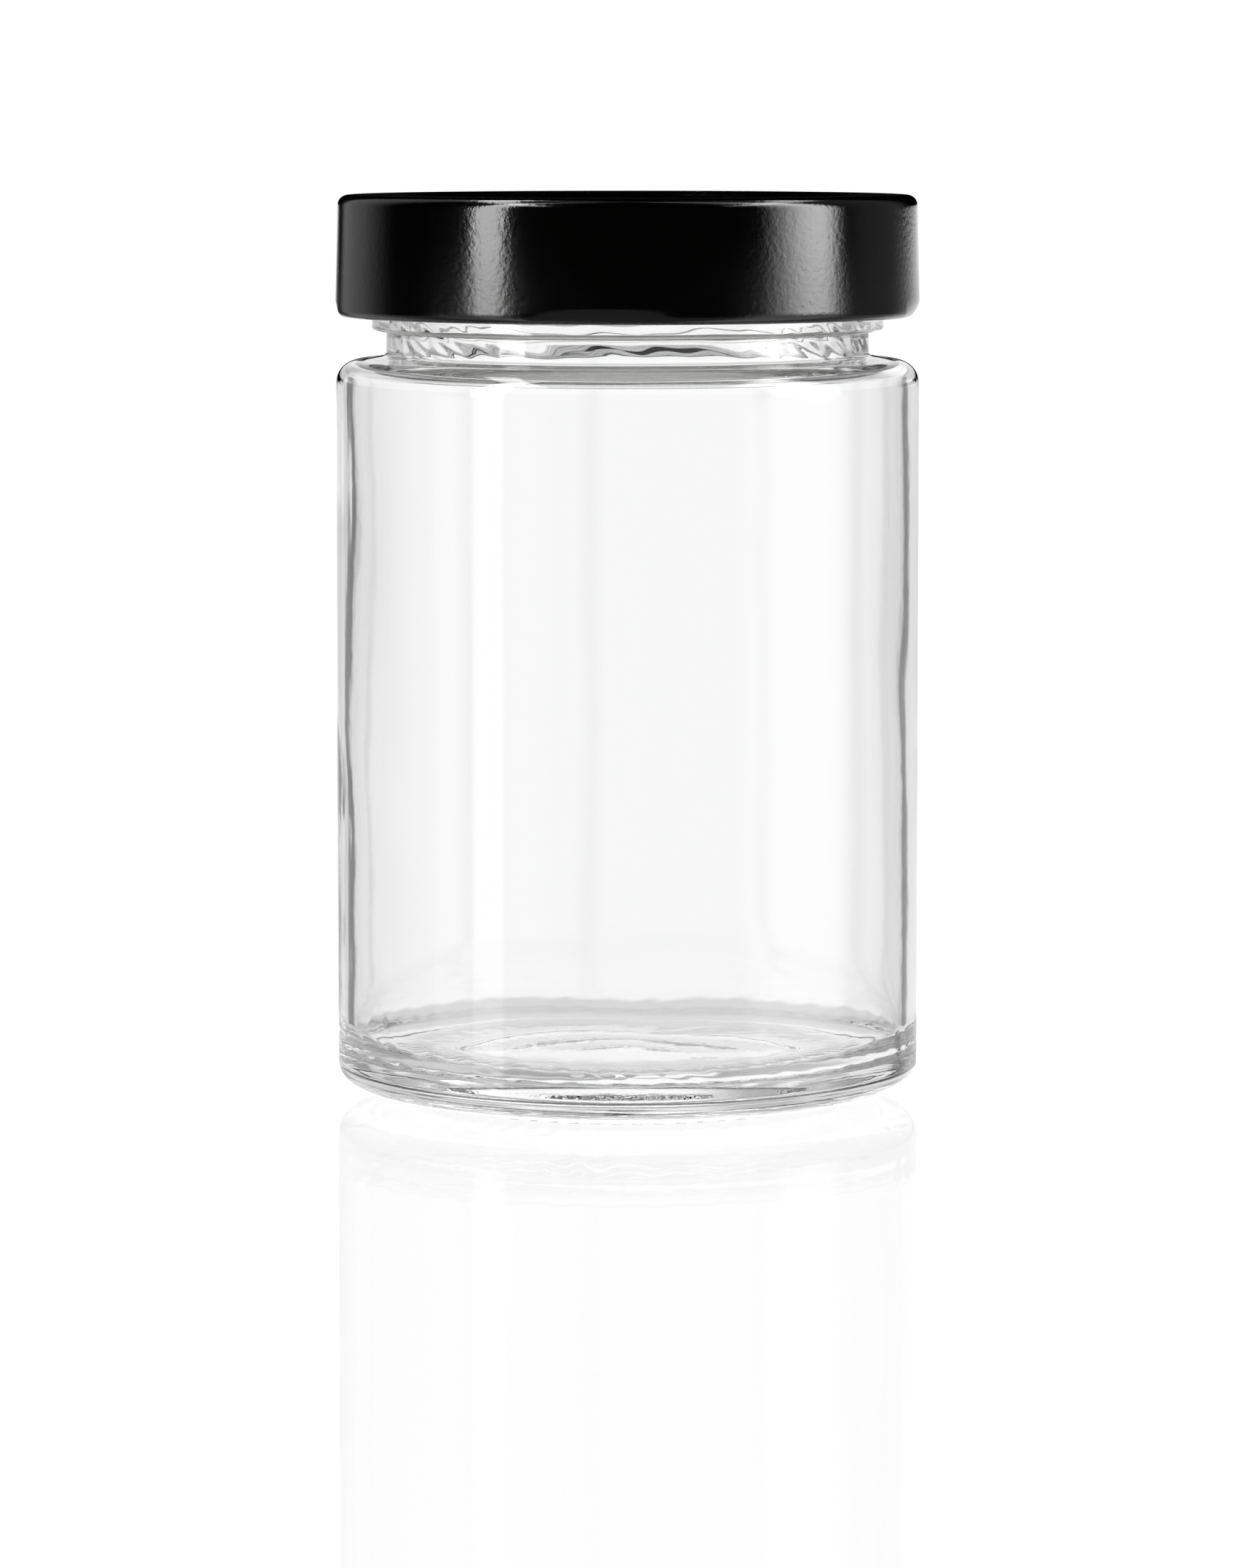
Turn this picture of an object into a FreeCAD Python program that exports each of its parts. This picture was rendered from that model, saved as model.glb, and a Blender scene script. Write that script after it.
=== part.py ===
"""Straight-sided glass jar with a deep, smooth-sided twist-off lid.

Three real pieces: the moulded glass jar, the drawn and lacquered steel lid
shell, and the ring of sealing compound that lies in the lid's channel.

Frame: millimetres, +Z up, origin at the centre of the ring that the jar stands
on.  The lid opens anticlockwise seen from above, up a four-start thread.
"""

import FreeCAD
import Part
import Sketcher
import math
import os

DOCUMENT = "jar_with_lid"
SHEET = "Dims"

# Driving dimensions, in millimetres and degrees.
DIMENSIONS = {
    # glass body
    "body_dia": 73.0,  # outside of the straight wall
    "wall": 2.1,  # glass thickness of the straight wall
    "heel_radius": 3.0,  # outside round between wall and underside
    "heel_rise": 1.75,  # height of the underside where the heel begins
    "heel_underside": 40.0,  # radius of the underside between foot and heel
    "foot_outer": 25.5,  # radius of the standing ring, outside
    "foot_inner": 22.0,  # radius of the standing ring, inside
    "push_up": 2.2,  # rise of the underside at its centre
    "push_up_step": 0.9,  # height of the step inside the standing ring
    "push_up_slant": 1.5,  # width of that step
    "push_up_radius": 160.0,  # crown of the underside
    "floor_centre": 6.6,  # inner floor, at the centre
    "floor_edge": 5.6,  # inner floor, where its corner round begins
    "floor_round": 4.4,  # inner round between floor and wall
    "wall_top": 89.8,  # where the straight wall ends and the shoulder begins
    "shoulder_round": 3.1,  # outside round of the shoulder
    "shoulder_slope": 0.5,  # rise of the shoulder's ledge towards the neck
    # glass neck and finish
    "neck_radius": 30.2,
    "neck_fillet": 0.7,
    "neck_inside": 27.9,
    "inner_shoulder": 2.4,  # inner rounds of the shoulder
    "bead_radius": 32.0,  # transfer bead under the lid
    "bead_bottom": 96.4,
    "bead_height": 2.3,
    "bead_round": 0.5,
    "finish_radius": 31.2,  # wall that carries the thread
    "rim_top": 112.1,  # sealing rim
    "rim_round": 1.1,
    "bore_top": 28.3,  # mouth, inside radius at the rim
    # thread
    "thread_starts": 4,
    "thread_lead": 20.0,  # rise in one whole turn
    "thread_crest": 33.4,  # radius of the crest
    "thread_width": 1.7,  # height of a rib where it meets the wall
    "thread_tip": 0.8,  # height of a rib at its crest
    "thread_arc": 76.0,  # length of one rib
    "thread_run_out": 9.0,  # length over which each end sinks into the wall
    "thread_before_lug": 14.0,  # how far a rib reaches past its lug, lid closed
    "thread_root_sink": 0.6,  # how deep a rib is rooted in the wall
    "thread_end_sink": 0.25,  # how deep its crest lies in the wall at either end
    "thread_stations": 15,  # sections that the rib's faces pass through
    "thread_height": 101.15,  # middle of a rib at the middle of its lug
    # knurl marks cut into the standing ring
    "knurl_count": 60,
    "knurl_width": 1.1,
    "knurl_depth": 0.25,
    "knurl_inner": 23.0,
    "knurl_outer": 27.5,
    # lid
    "sheet_gauge": 0.25,  # steel with its lacquer
    "lid_dia": 73.0,  # outside, at the bottom edge
    "lid_top_radius": 36.2,  # outside, under the top round
    "lid_bottom": 98.2,
    "lid_top": 113.3,
    "lid_round": 1.3,
    "panel_drop": 0.8,  # recess of the centre panel
    "panel_radius": 26.0,
    "step_radius": 27.4,
    "curl_radius": 1.0,
    "lug_phase": -5.0,  # angle of the first lug from +X turned to the front
    "lug_arc": 15.6,  # tip that reaches under the thread
    "lug_root_arc": 29.0,  # wider foot of the lug, outside the thread
    "lug_tip_radius": 32.4,
    "lug_root_radius": 33.9,
    "lug_height": 1.6,
    "lug_flat_depth": 1.26,  # how far the pressed flat is in from the skirt
    "lug_flat_height": 2.2,
    "lug_flat_length": 24.0,  # longer than the flat's chord
    # sealing compound
    "seal_gap": 0.03,  # between compound and steel
    "seal_inner": 27.95,
    "seal_outer": 34.6,
    "seal_depth": 1.5,
    "seal_round": 0.4,
    "rim_gap": 0.06,  # between compound and glass rim
}

FRONT = -90.0  # the front of the jar faces -Y


class Size:
    """A length that knows its value and the expression that gives it."""

    def __init__(self, value, text):
        self.value = float(value)
        self.text = text

    @staticmethod
    def of(other):
        return other if isinstance(other, Size) else Size(other, repr(float(other)))

    def __add__(self, other):
        other = Size.of(other)
        return Size(self.value + other.value, f"({self.text} + {other.text})")

    def __sub__(self, other):
        other = Size.of(other)
        return Size(self.value - other.value, f"({self.text} - {other.text})")

    def __mul__(self, other):
        other = Size.of(other)
        return Size(self.value * other.value, f"({self.text} * {other.text})")

    def __truediv__(self, other):
        other = Size.of(other)
        return Size(self.value / other.value, f"({self.text} / {other.text})")


class Dims:
    """The spreadsheet's cells, by alias, as sizes."""

    def __init__(self, doc):
        self.sheet = doc.addObject("Spreadsheet::Sheet", SHEET)
        for row, (alias, value) in enumerate(DIMENSIONS.items(), start=1):
            self.sheet.set(f"A{row}", alias)
            self.sheet.set(f"B{row}", str(value))
            self.sheet.setAlias(f"B{row}", alias)
        doc.recompute()

    def __getattr__(self, alias):
        return Size(self.sheet.get(alias), f"{SHEET}.{alias}")


def origin_plane(body, role):
    """One of a body's own origin planes or axes, by its role."""
    for feature in body.Origin.OriginFeatures:
        if feature.Role == role:
            return feature
    raise ValueError(f"no origin feature {role}")


def new_sketch(body, name, role="XZ_Plane"):
    sketch = body.newObject("Sketcher::SketchObject", name)
    sketch.AttachmentSupport = (origin_plane(body, role), [""])
    sketch.MapMode = "FlatFace"
    return sketch


def line_to(x, z):
    return {"x": x, "z": z}


def arc_to(x, z, radius, turn):
    """An arc to (x, z); turn is +1 anticlockwise and -1 clockwise."""
    return {"x": x, "z": z, "radius": radius, "turn": turn}


def arc_between(start, end, radius, turn):
    """The arc under half a turn from start to end with that radius."""
    chord = end - start
    half = chord.Length / 2
    rise = math.sqrt(max(radius * radius - half * half, 0.0))
    across = FreeCAD.Vector(-chord.y, chord.x, 0).normalize() * turn
    centre = (start + end) / 2 + across * rise
    middle = centre - across * radius
    return Part.Arc(start, middle, end)


def trace(sketch, steps):
    """Draws the closed outline and binds every corner and radius to its cell."""
    corners = [FreeCAD.Vector(s["x"].value, s["z"].value, 0) for s in steps]
    for number, step in enumerate(steps):
        start, end = corners[number - 1], corners[number]
        if "radius" in step:
            shape = arc_between(start, end, step["radius"].value, step["turn"])
        else:
            shape = Part.LineSegment(start, end)
        sketch.addGeometry(shape, False)
    # An arc's own start is its anticlockwise end, whichever way it was drawn.
    ends = []
    for number, step in enumerate(steps):
        clockwise = step.get("turn") == -1
        ends.append((2, 1) if clockwise else (1, 2))
    for number, step in enumerate(steps):
        following = (number + 1) % len(steps)
        sketch.addConstraint(
            Sketcher.Constraint("Coincident", number, ends[number][1], following, ends[following][0])
        )
        for kind, size in (("DistanceX", step["x"]), ("DistanceY", step["z"])):
            place = sketch.addConstraint(
                Sketcher.Constraint(kind, -1, 1, number, ends[number][1], size.value)
            )
            sketch.setExpression(f"Constraints[{place}]", size.text)
        if "radius" in step:
            place = sketch.addConstraint(
                Sketcher.Constraint("Radius", number, step["radius"].value)
            )
            sketch.setExpression(f"Constraints[{place}]", step["radius"].text)


def revolve(body, sketch, name, angle=None):
    feature = body.newObject("PartDesign::Revolution", name)
    feature.Profile = sketch
    feature.ReferenceAxis = (origin_plane(body, "Z_Axis"), [""])
    feature.Angle = 360.0
    if angle is not None:
        feature.Midplane = True
        feature.setExpression("Angle", angle.text)
    return feature


def polar(body, feature, count, name):
    pattern = body.newObject("PartDesign::PolarPattern", name)
    pattern.Originals = [feature]
    pattern.Axis = (origin_plane(body, "Z_Axis"), [""])
    pattern.Angle = 360.0
    pattern.setExpression("Occurrences", count.text)
    body.Tip = pattern
    return pattern


def must_remove(before, after):
    """Stops if the later feature took no material off the earlier one."""
    if not after.Shape.Volume < before.Shape.Volume:
        raise RuntimeError(f"{after.Name} removes nothing")


def glass_blank(doc, d):
    """The jar turned in one piece: foot, wall, shoulder, neck, bead and rim."""
    body = doc.addObject("PartDesign::Body", "glass_blank")
    outer = d.body_dia / 2
    inner = outer - d.wall
    zero = Size.of(0)
    ledge = d.wall_top + d.shoulder_round
    neck_foot = ledge + d.shoulder_slope
    bead_top = d.bead_bottom + d.bead_height
    inner_ledge = d.wall_top + d.shoulder_round - d.wall
    sketch = new_sketch(body, "glass_section")
    trace(
        sketch,
        [
            line_to(zero, d.floor_centre),
            line_to(zero, d.push_up),
            arc_to(d.foot_inner - d.push_up_slant, d.push_up_step, d.push_up_radius, -1),
            line_to(d.foot_inner, zero),
            line_to(d.foot_outer, zero),
            arc_to(outer - d.heel_radius, d.heel_rise, d.heel_underside, 1),
            arc_to(outer, d.heel_rise + d.heel_radius, d.heel_radius, 1),
            line_to(outer, d.wall_top),
            arc_to(outer - d.shoulder_round, ledge, d.shoulder_round, 1),
            line_to(d.neck_radius + d.neck_fillet, neck_foot),
            arc_to(d.neck_radius, neck_foot + d.neck_fillet, d.neck_fillet, -1),
            line_to(d.neck_radius, d.bead_bottom),
            line_to(d.bead_radius - d.bead_round, d.bead_bottom),
            arc_to(d.bead_radius, d.bead_bottom + d.bead_round, d.bead_round, 1),
            line_to(d.bead_radius, bead_top - d.bead_round),
            arc_to(d.bead_radius - d.bead_round, bead_top, d.bead_round, 1),
            line_to(d.finish_radius, bead_top),
            line_to(d.finish_radius, d.rim_top - d.rim_round),
            arc_to(d.finish_radius - d.rim_round, d.rim_top, d.rim_round, 1),
            line_to(d.bore_top + d.rim_round, d.rim_top),
            arc_to(d.bore_top, d.rim_top - d.rim_round, d.rim_round, 1),
            line_to(d.neck_inside, inner_ledge + d.inner_shoulder),
            arc_to(d.neck_inside + d.inner_shoulder, inner_ledge, d.inner_shoulder, 1),
            line_to(inner - d.inner_shoulder, inner_ledge),
            arc_to(inner, inner_ledge - d.inner_shoulder, d.inner_shoulder, -1),
            line_to(inner, d.floor_edge + d.floor_round),
            arc_to(inner - d.floor_round, d.floor_edge, d.floor_round, -1),
        ],
    )
    turned = revolve(body, sketch, "glass_turned")
    doc.recompute()
    notch = new_sketch(body, "knurl_section", "XY_Plane")
    half = d.knurl_width / 2
    trace(
        notch,
        [
            line_to(d.knurl_outer, half * -1),
            line_to(d.knurl_outer, half),
            line_to(d.knurl_inner, half),
            line_to(d.knurl_inner, half * -1),
        ],
    )
    pocket = body.newObject("PartDesign::Pocket", "knurl_notch")
    pocket.Profile = notch
    pocket.Reversed = True
    pocket.setExpression("Length", d.knurl_depth.text)
    doc.recompute()
    polar(body, pocket, d.knurl_count, "knurl_ring")
    doc.recompute()
    must_remove(turned, body.Tip)
    return body


def thread_rib(d):
    """One rib of the thread: its ends sink into the wall instead of stopping."""
    stations = int(d.thread_stations.value)
    root = d.finish_radius.value - d.thread_root_sink.value
    buried = d.finish_radius.value - d.thread_end_sink.value
    crest = d.thread_crest.value
    arc = d.thread_arc.value
    first = d.lug_phase.value + FRONT - d.thread_before_lug.value
    sections = []
    for number in range(stations):
        along = arc * number / (stations - 1)
        from_end = min(along, arc - along) / d.thread_run_out.value
        share = math.sin(math.pi / 2 * min(from_end, 1.0))
        tip = buried + (crest - buried) * share
        turn = along - d.thread_before_lug.value
        height = d.thread_height.value + d.thread_lead.value * turn / 360.0
        half_root = d.thread_width.value / 2
        half_tip = d.thread_tip.value / 2
        corners = [
            FreeCAD.Vector(root, 0, height - half_root),
            FreeCAD.Vector(tip, 0, height - half_tip),
            FreeCAD.Vector(tip, 0, height + half_tip),
            FreeCAD.Vector(root, 0, height + half_root),
        ]
        wire = Part.makePolygon(corners + corners[:1])
        wire.rotate(FreeCAD.Vector(), FreeCAD.Vector(0, 0, 1), first + along)
        sections.append(wire)
    return Part.makeLoft(sections, True, False)


def glass_jar(doc, d):
    """The turned glass with the ribs of its thread."""
    blank = glass_blank(doc, d)
    starts = int(d.thread_starts.value)
    ribs = []
    for number in range(starts):
        rib = doc.addObject("Part::Feature", f"thread_rib_{number + 1}")
        shape = thread_rib(d)
        shape.rotate(FreeCAD.Vector(), FreeCAD.Vector(0, 0, 1), 360.0 / starts * number)
        rib.Shape = shape
        ribs.append(rib)
    jar = doc.addObject("Part::MultiFuse", "glass_jar")
    jar.Shapes = [blank, *ribs]
    jar.Refine = False
    return jar


def lid_shell(doc, d):
    """The drawn steel lid: recessed panel, skirt, inward curl and pressed lugs."""
    body = doc.addObject("PartDesign::Body", "lid_shell")
    zero = Size.of(0)
    gauge = d.sheet_gauge
    outer = d.lid_dia / 2
    curl_x = outer - d.curl_radius
    curl_z = d.lid_bottom + d.curl_radius
    curl_in = d.curl_radius - gauge
    panel_top = d.lid_top - d.panel_drop
    inner_round = d.lid_round - gauge
    top_inside = d.lid_top_radius - gauge
    sketch = new_sketch(body, "lid_section")
    trace(
        sketch,
        [
            line_to(zero, panel_top - gauge),
            line_to(d.panel_radius, panel_top - gauge),
            line_to(d.step_radius, d.lid_top - gauge),
            line_to(d.lid_top_radius - d.lid_round, d.lid_top - gauge),
            arc_to(top_inside, d.lid_top - d.lid_round, inner_round, -1),
            line_to(outer - gauge, curl_z),
            arc_to(curl_x, curl_z - curl_in, curl_in, -1),
            arc_to(curl_x - curl_in, curl_z, curl_in, -1),
            arc_to(curl_x, curl_z + curl_in, curl_in, -1),
            line_to(curl_x, curl_z + d.curl_radius),
            arc_to(curl_x - d.curl_radius, curl_z, d.curl_radius, 1),
            arc_to(curl_x, curl_z - d.curl_radius, d.curl_radius, 1),
            arc_to(outer, curl_z, d.curl_radius, 1),
            line_to(d.lid_top_radius, d.lid_top - d.lid_round),
            arc_to(d.lid_top_radius - d.lid_round, d.lid_top, d.lid_round, 1),
            line_to(d.step_radius, d.lid_top),
            line_to(d.panel_radius, panel_top),
            line_to(zero, panel_top),
        ],
    )
    revolve(body, sketch, "lid_turned")
    doc.recompute()
    lug_top = d.lid_bottom + d.lug_height
    for name, inside, arc in (
        ("lug_root", d.lug_root_radius, d.lug_root_arc),
        ("lug_tip", d.lug_tip_radius, d.lug_arc),
    ):
        section = new_sketch(body, f"{name}_section")
        trace(
            section,
            [
                line_to(inside, d.lid_bottom),
                line_to(outer - d.curl_radius, d.lid_bottom),
                line_to(outer - gauge, curl_z),
                line_to(outer - gauge, lug_top),
                line_to(inside, lug_top),
            ],
        )
        lug = revolve(body, section, name, arc)
        doc.recompute()
        lugs = polar(body, lug, d.thread_starts, f"{name}s")
        doc.recompute()
    flat = new_sketch(body, "lug_flat_section")
    trace(
        flat,
        [
            line_to(outer - d.lug_flat_depth, d.lid_bottom),
            line_to(outer + d.lug_flat_depth, d.lid_bottom),
            line_to(outer + d.lug_flat_depth, d.lid_bottom + d.lug_flat_height),
            line_to(outer, d.lid_bottom + d.lug_flat_height),
        ],
    )
    press = body.newObject("PartDesign::Pocket", "lug_flat")
    press.Profile = flat
    press.Midplane = True
    press.setExpression("Length", d.lug_flat_length.text)
    doc.recompute()
    polar(body, press, d.thread_starts, "lug_flats")
    doc.recompute()
    must_remove(lugs, body.Tip)
    turn = FreeCAD.Rotation(FreeCAD.Vector(0, 0, 1), d.lug_phase.value + FRONT)
    body.Placement = FreeCAD.Placement(FreeCAD.Vector(), turn)
    return body


def sealing_ring(doc, d):
    """The compound in the lid's channel, with the groove that the rim presses."""
    body = doc.addObject("PartDesign::Body", "sealing_ring")
    top = d.lid_top - d.sheet_gauge - d.seal_gap
    bottom = top - d.seal_depth
    groove_outer = d.finish_radius + d.rim_gap
    groove_inner = d.bore_top - d.rim_gap
    groove_top = d.rim_top + d.rim_gap
    groove_round = d.rim_round + d.rim_gap
    sketch = new_sketch(body, "seal_section")
    trace(
        sketch,
        [
            line_to(d.seal_inner, top),
            line_to(d.seal_inner, groove_top - groove_round),
            line_to(groove_inner, groove_top - groove_round),
            arc_to(groove_inner + groove_round, groove_top, groove_round, -1),
            line_to(groove_outer - groove_round, groove_top),
            arc_to(groove_outer, groove_top - groove_round, groove_round, -1),
            line_to(groove_outer, bottom),
            line_to(d.seal_outer - d.seal_round, bottom),
            arc_to(d.seal_outer, bottom + d.seal_round, d.seal_round, 1),
            line_to(d.seal_outer, top),
        ],
    )
    revolve(body, sketch, "seal_turned")
    return body


def check(doc, parts):
    """Stops if any object failed, or a piece isn't one valid closed solid."""
    for item in doc.Objects:
        if "Invalid" in item.State or "Error" in item.State:
            raise RuntimeError(f"{item.Name} failed: {item.State}")
    for part in parts:
        shape = part.Shape
        if shape.isNull() or not shape.isValid() or not shape.isClosed():
            raise RuntimeError(f"{part.Label} has no valid closed shape")
        print(f"{part.Label}: {len(shape.Solids)} solid, {shape.Volume / 1000:.2f} cm3")


def main():
    doc = FreeCAD.newDocument(DOCUMENT)
    dims = Dims(doc)
    parts = [glass_jar(doc, dims), lid_shell(doc, dims), sealing_ring(doc, dims)]
    doc.recompute()
    check(doc, parts)
    os.makedirs("parts", exist_ok=True)
    for part in parts:
        part.Shape.exportStep(os.path.join("parts", f"{part.Label}.step"))


main()
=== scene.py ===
# %% [markdown]
# # A straight-sided glass jar with a black twist-off lid
#
# The real object is three pieces: a moulded glass jar, a lid drawn from thin lacquered steel, and a ring
# of soft sealing compound in the lid.  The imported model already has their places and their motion.  This
# lesson gives each of them a fine mesh and a finish.  All three are round, so all three can be made on a
# lathe: an outline is drawn once and spun round the upright axis.
#
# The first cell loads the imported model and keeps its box, because every size below is taken from it.

# %% Load the frame
import math
import bpy
import numpy as np
from types import SimpleNamespace
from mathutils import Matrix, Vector


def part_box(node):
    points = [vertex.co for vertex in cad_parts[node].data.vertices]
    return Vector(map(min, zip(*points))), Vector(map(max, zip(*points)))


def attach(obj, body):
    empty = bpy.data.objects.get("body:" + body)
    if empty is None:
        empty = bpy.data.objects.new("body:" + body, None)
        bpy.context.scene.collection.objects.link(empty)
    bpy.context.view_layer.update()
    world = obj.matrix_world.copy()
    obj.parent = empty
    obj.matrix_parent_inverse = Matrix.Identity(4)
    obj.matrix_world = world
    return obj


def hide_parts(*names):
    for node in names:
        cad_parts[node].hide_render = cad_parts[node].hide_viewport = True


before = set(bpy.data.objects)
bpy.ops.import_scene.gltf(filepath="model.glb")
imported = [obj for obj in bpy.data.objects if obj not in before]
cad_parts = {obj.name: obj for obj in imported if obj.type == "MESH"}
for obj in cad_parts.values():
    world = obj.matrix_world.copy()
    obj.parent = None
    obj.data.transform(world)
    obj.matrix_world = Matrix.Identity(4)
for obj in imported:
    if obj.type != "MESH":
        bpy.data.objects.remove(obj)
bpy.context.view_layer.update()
MM = 0.001

# %% [markdown]
# ## Sizes
#
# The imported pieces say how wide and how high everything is.  What they can't say, such as the radius of a
# round or the depth of a groove, is a named number here, in millimetres.

# %% Sizes in millimetres
glass_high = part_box("glass_jar")[1] / MM
lid_low, lid_high = (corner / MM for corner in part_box("lid_shell"))
ring_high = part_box("sealing_ring")[1] / MM

WALL_R = round(glass_high.x, 1)
RIM_Z = glass_high.z
LID_R = round(lid_high.x, 1)
LID_FOOT = lid_low.z
LID_TOP = lid_high.z
RING_R = ring_high.x
RING_TOP = ring_high.z

GLASS = 2.1
FOOT_OUT, FOOT_IN = 25.5, 22.0
FOOT_ROUND, FOOT_EDGE, FOOT_EDGE_RISE = 0.45, 1.9, 0.42
PUSH_UP, PUSH_STEP, PUSH_SLANT = 2.2, 0.55, 1.5
KNURL_IN = 23.0
HEEL_ROUND, HEEL_RISE = 3.0, 1.75
FLOOR_ROUND, FLOOR_EDGE, FLOOR_MIDDLE = 4.4, 5.6, 6.6
SHOULDER_ROUND, SHOULDER_Z, SHOULDER_THIN = 3.0, 89.75, 0.25
NECK_R, NECK_FILLET, NECK_FOOT = 30.2, 0.5, 93.2
NECK_BORE, INNER_ROUND = 27.9, 1.3
BEAD_R, BEAD_FOOT, BEAD_HEIGHT, BEAD_ROUND = 32.0, 96.4, 2.3, 0.5
FINISH_R, MOUTH_R, RIM_ROUND = 31.2, 28.3, 1.1
LUGS = 4
FRONT = -90.0
LUG_PHASE = math.radians(FRONT - 5.0)
LUG_ARC = math.radians(15.6)
print("glass wall radius", WALL_R, "and rim at", round(RIM_Z, 2))
print("lid from", round(LID_FOOT, 2), "to", round(LID_TOP, 2))

# %% [markdown]
# ## An outline made of stretches
#
# A lathe outline is a row of points, each a radius and a height.  It could be one long table of numbers,
# but nobody can read or change that.  Here it is a chain of named stretches, each a line or an arc with
# as many steps as its shape needs.  The names matter later: a thread belongs on the `finish` stretch and
# a wavy surface on the `inside`.

# %% Lines, arcs and outlines
def line(start, end, steps=1):
    """Points from start to end, both included."""
    share = np.linspace(0.0, 1.0, steps + 1)[:, None]
    return np.array(start) * (1 - share) + np.array(end) * share


def arc(centre, radius, first, last, steps):
    """Points on a circle between two angles in degrees; 0 points outwards and 90 up."""
    turn = np.radians(np.linspace(first, last, steps + 1))
    return np.array(centre) + radius * np.stack([np.cos(turn), np.sin(turn)], 1)


def wall(radius, start, finish, steps, end=0.4):
    """An upright stretch with a close row at each end, which keeps the next round's shading off it."""
    end = math.copysign(end, finish - start)
    heights = [start, *np.linspace(start + end, finish - end, steps + 1), finish]
    return np.array([(radius, height) for height in heights])


def outline(stretches):
    """Joins named stretches end to end into one array of points and one list of names."""
    points, names = [], []
    for name, stretch in stretches:
        for point in stretch:
            if points and np.hypot(*(point - points[-1])) < 1e-4:
                continue
            points.append(point)
            names.append(name)
    return np.array(points), np.array(names)


# %% [markdown]
# ## The lathe
#
# Spinning the outline gives a grid: one row for each outline point and one column for each direction.  A
# Screw modifier does the same, but a grid in our own hands can be shaped before it becomes a mesh: a rib,
# a notch or a dent is a small change of radius or height over part of the grid.  That keeps every piece
# one closed skin, which glass needs, because light bends wrongly where two skins overlap.

# %% A lathe that makes a grid first
class Lathe:
    """A spun outline whose radius and height can be shaped before it becomes a mesh."""

    def __init__(self, stretches, columns):
        self.points, self.names = outline(stretches)
        self.turn = np.arange(columns) * 2 * math.pi / columns
        self.radius = np.repeat(self.points[:, :1], columns, 1)
        self.height = np.repeat(self.points[:, 1:], columns, 1)

    def on(self, *names):
        """1 on the named stretches and 0 elsewhere, as a column."""
        return np.isin(self.names, names).astype(float)[:, None]

    def mesh(self, name, closed=False):
        """The piece.  A closed outline joins its last row to its first; an open one ends at the axis."""
        columns = len(self.turn)
        rows = len(self.points)
        ends = [] if closed else [0, rows - 1]
        x = self.radius * np.cos(self.turn)
        y = self.radius * np.sin(self.turn)
        grid = np.stack([x, y, self.height], 2) * MM
        inner = grid if closed else grid[1:-1]
        vertices = inner.reshape(-1, 3)
        index = np.arange(len(vertices)).reshape(inner.shape[0], columns)
        lower = index if closed else index[:-1]
        upper = np.roll(index, -1, 0) if closed else index[1:]
        quads = np.stack([lower, np.roll(lower, -1, 1), np.roll(upper, -1, 1), upper], 2).reshape(-1, 4)
        faces = quads.tolist()
        for end in ends:
            middle = len(vertices)
            vertices = np.vstack([vertices, grid[end].mean(0)])
            rim = index[0] if end == 0 else index[-1]
            following = np.roll(rim, -1)
            for here, there in zip(rim.tolist(), following.tolist()):
                faces.append([middle, there, here] if end == 0 else [middle, here, there])
        data = bpy.data.meshes.new(name)
        data.from_pydata(vertices.tolist(), [], faces)
        data.polygons.foreach_set("use_smooth", [True] * len(faces))
        data.update()
        piece = bpy.data.objects.new(name, data)
        bpy.context.scene.collection.objects.link(piece)
        print(name, "has", len(data.polygons), "faces")
        return piece


def smooth(low, high, value):
    """0 below low, 1 above high, and an even ramp between."""
    share = np.clip((value - low) / (high - low), 0.0, 1.0)
    return share * share * (3 - 2 * share)


def around(turn, centre):
    """The angle from centre to turn, between minus half a turn and half a turn."""
    return (turn - centre + math.pi) % (2 * math.pi) - math.pi


# %% [markdown]
# ## The glass
#
# A press-and-blow jar has two very different faces.  The outside touched an iron mould, so it is true:
# straight wall, even shoulder, a bead under the lid and a raised thread.  The inside was blown by air, so
# the wall's thickness wanders, most near the heel, where the glass was thickest and coldest.  The outline
# below runs from the middle of the underside, out and up the mould side, over the rim, and down the blown
# side to the middle of the floor.

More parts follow.
